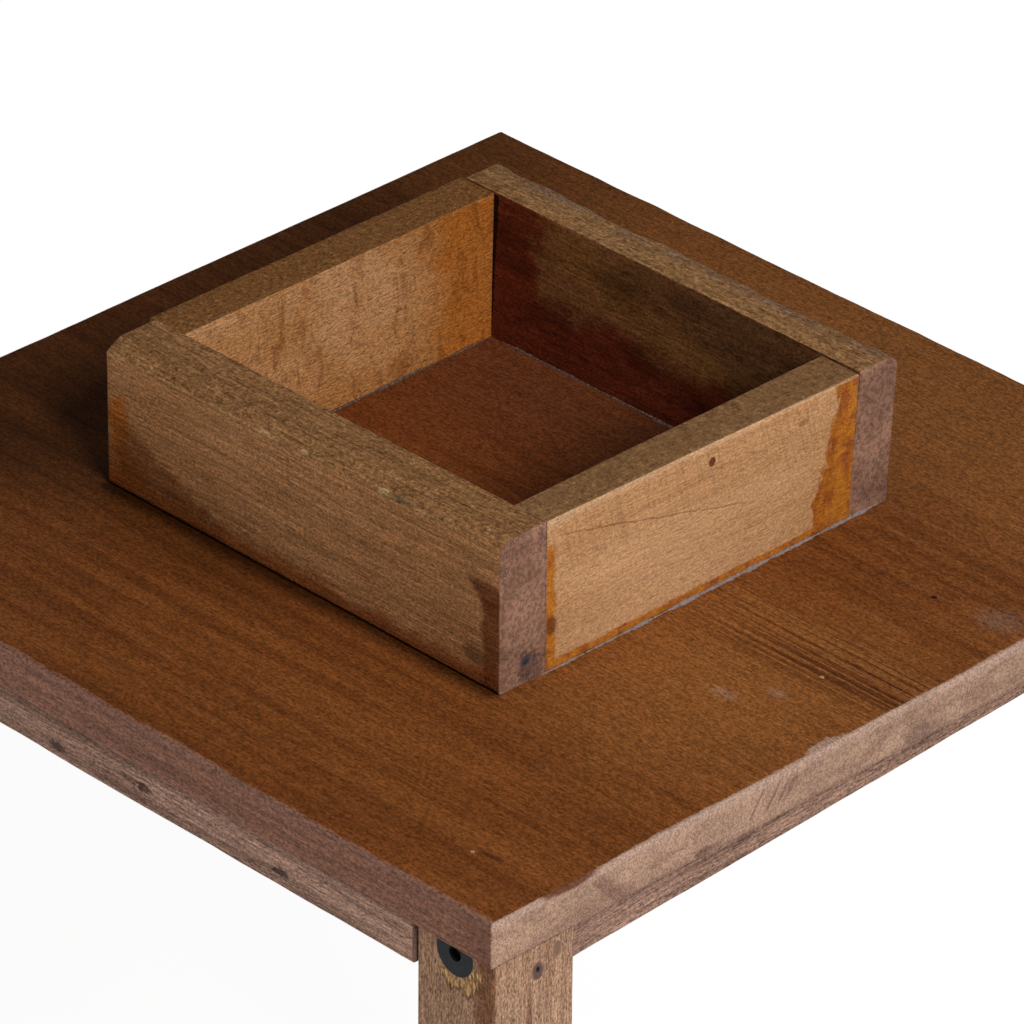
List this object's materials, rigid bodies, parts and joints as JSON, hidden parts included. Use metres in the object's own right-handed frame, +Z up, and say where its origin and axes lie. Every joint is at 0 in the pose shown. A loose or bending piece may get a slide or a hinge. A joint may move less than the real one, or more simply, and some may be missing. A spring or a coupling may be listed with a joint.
{
  "type": "tilt top table",
  "caption": "Square wooden side table with a shallow open box on its board; the board tilts up on steel pins in the left legs.",
  "frame": {"origin": "on the floor, under the middle of the board", "axes": "+Z up, +X right along the board's grain, away from the pivot; -Y is the front"},
  "size_m": [0.4836, 0.4784, 0.6738],
  "materials": {
    "board_wood": "thin brown stain, satin, grain along X",
    "box_wood": "oiled, satin, with orange glue stains",
    "leg_wood": "dry, open pored, matt",
    "rail_wood": "dry, open pored, matt",
    "batten_wood": "grey brown, weathered, matt",
    "peg_wood": "pale dowel, matt",
    "bush_plastic": "dark slate, semi matt",
    "steel": "dull, slightly rusted",
    "filler": "dark wood filler, matt"
  },
  "bodies": {
    "frame": {"front_right_leg": "leg_wood", "back_right_leg": "leg_wood", "front_left_leg": "leg_wood", "back_left_leg": "leg_wood", "front_top_rail": "rail_wood", "back_top_rail": "rail_wood", "right_top_rail": "rail_wood", "left_top_rail": "rail_wood", "front_stretcher": "rail_wood", "back_stretcher": "rail_wood", "left_stretcher": "rail_wood", "right_stretcher": "rail_wood", "stretcher_pegs": "peg_wood", "front_lock_bush": "bush_plastic", "back_lock_bush": "bush_plastic", "front_pivot_bush": "bush_plastic", "back_pivot_bush": "bush_plastic", "rail_screws": "steel", "leg_fillers": "filler"},
    "top": {"front_plank": "board_wood", "middle_plank": "board_wood", "back_plank": "board_wood", "box_front_wall": "box_wood", "box_back_wall": "box_wood", "box_left_wall": "box_wood", "box_right_wall": "box_wood", "front_batten": "batten_wood", "back_batten": "batten_wood", "right_batten": "batten_wood", "pivot_rail": "batten_wood", "plank_dowels": "peg_wood", "front_pivot_pin": "steel", "back_pivot_pin": "steel", "batten_screws": "steel", "pivot_rail_screws": "steel", "box_screws": "steel", "batten_nails": "steel", "box_nail": "steel"}
  },
  "joints": [
    {"name": "top_tilt", "type": "hinge", "parent": "frame", "child": "top", "pos_m": [-0.2178, 0, 0.5632], "axis": [0, -1, 0], "range_deg": [0, 90]}
  ]
}
